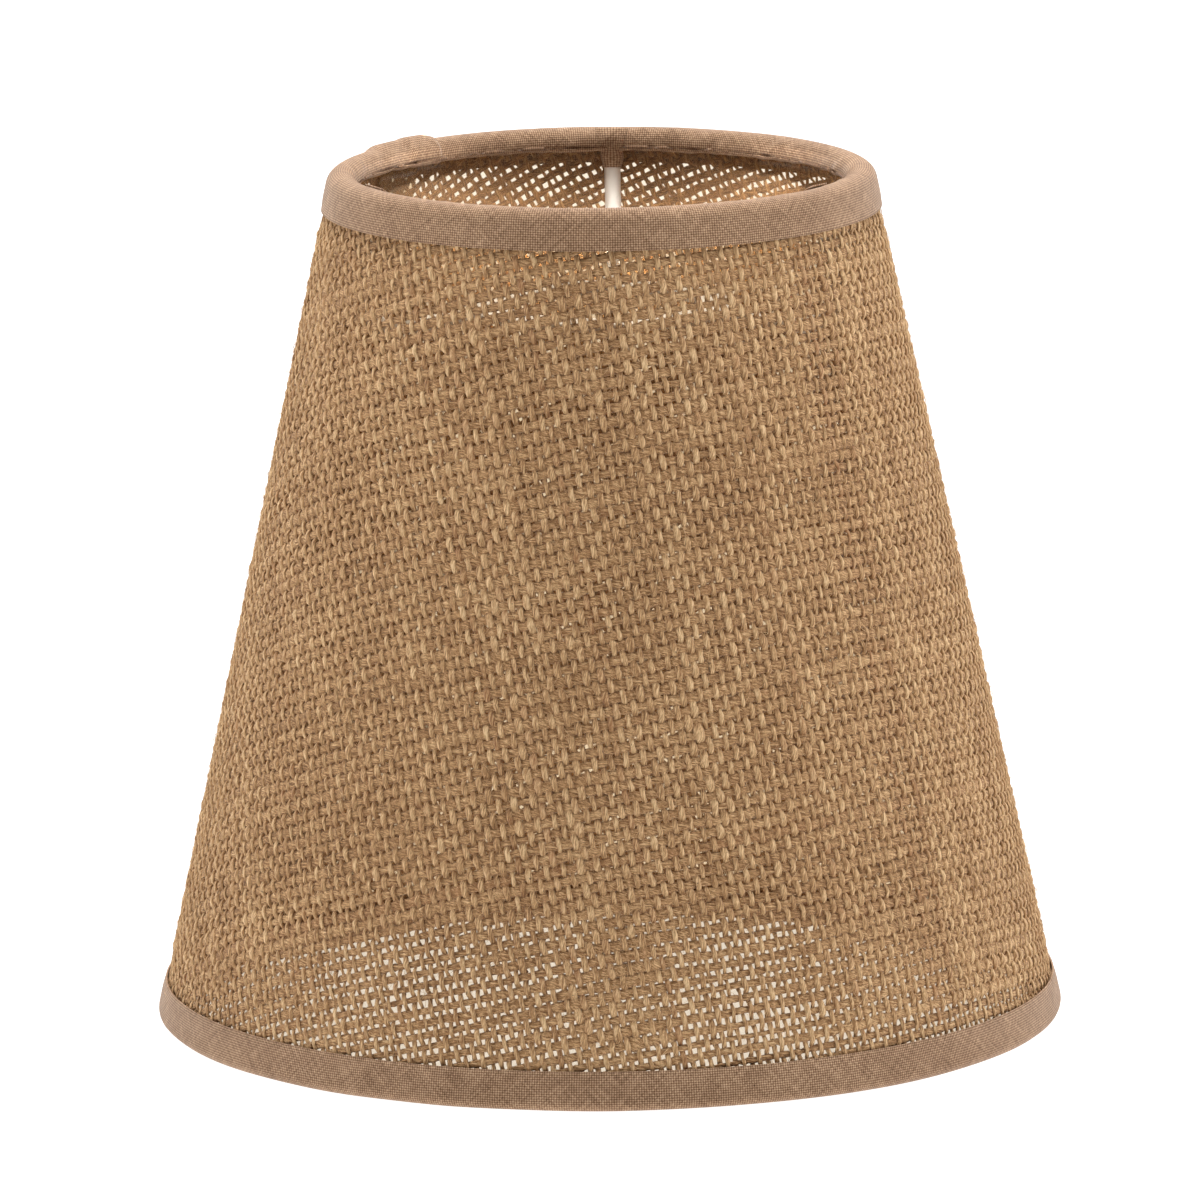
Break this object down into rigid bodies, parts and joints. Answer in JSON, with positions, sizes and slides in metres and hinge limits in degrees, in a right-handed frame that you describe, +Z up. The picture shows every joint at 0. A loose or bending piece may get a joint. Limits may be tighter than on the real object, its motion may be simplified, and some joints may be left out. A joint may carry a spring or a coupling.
{
  "type": "lamp shade",
  "caption": "Cone lamp shade of open jute weave on a clear stiff liner, with bound edges and a recessed wire fitter that a lamp holder clamps.",
  "frame": {"origin": "middle of the shade's footprint, on the plane that its bottom edge stands on", "axes": "+Z up along the cone's axis, towards the small end; -Y is the front; the arm seen through the top opening is near +Y and the liner's seam is at 140.6 degrees from +X towards +Y"},
  "size_m": [0.2, 0.2, 0.189],
  "materials": {
    "jute": "open plain weave of natural jute, golden tan, coarse and hairy",
    "bias_tape": "fine plain-weave cotton, taupe, folded on the bias",
    "clear_film": "clear stiff film, glossy",
    "white_coating": "warm white powder coating on steel, satin"
  },
  "bodies": {
    "root": {"top_ring": "white_coating", "bottom_ring": "white_coating", "fitter_ring": "white_coating", "spider_arm_1": "white_coating", "spider_arm_2": "white_coating", "spider_arm_3": "white_coating", "arm_wrap_1": "bias_tape", "arm_wrap_2": "bias_tape", "arm_wrap_3": "bias_tape", "clear_liner": "clear_film", "seam_strip": "clear_film", "jute_cover": "jute", "top_binding": "bias_tape", "bottom_binding": "bias_tape"}
  },
  "joints": []
}
